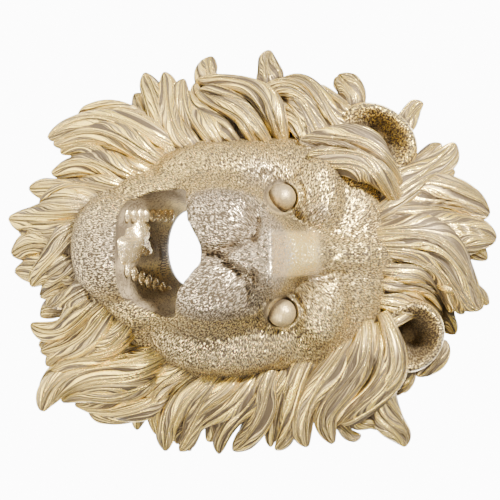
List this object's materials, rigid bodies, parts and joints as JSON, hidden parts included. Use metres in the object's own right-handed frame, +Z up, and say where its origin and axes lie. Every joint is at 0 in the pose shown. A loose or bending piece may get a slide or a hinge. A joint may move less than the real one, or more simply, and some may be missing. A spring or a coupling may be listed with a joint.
{
  "type": "wall fountain spout",
  "caption": "Lion's head wall fountain spout with a full curling mane, its open mouth leading the water pipe through a flat back.",
  "frame": {"origin": "on the flat back, in the wall plane, level with the nose and above the pipe hole", "axes": "+Z up, +Y into the wall, +X to the viewer's right; the face looks along -Y"},
  "size_m": [0.212, 0.1095, 0.2529],
  "materials": {
    "antique_gold": "cast resin with an antique champagne-gold metallic coat, darker in the recesses and silvery on the muzzle and chin"
  },
  "bodies": {
    "root": {"lion_head": "antique_gold"}
  },
  "joints": []
}
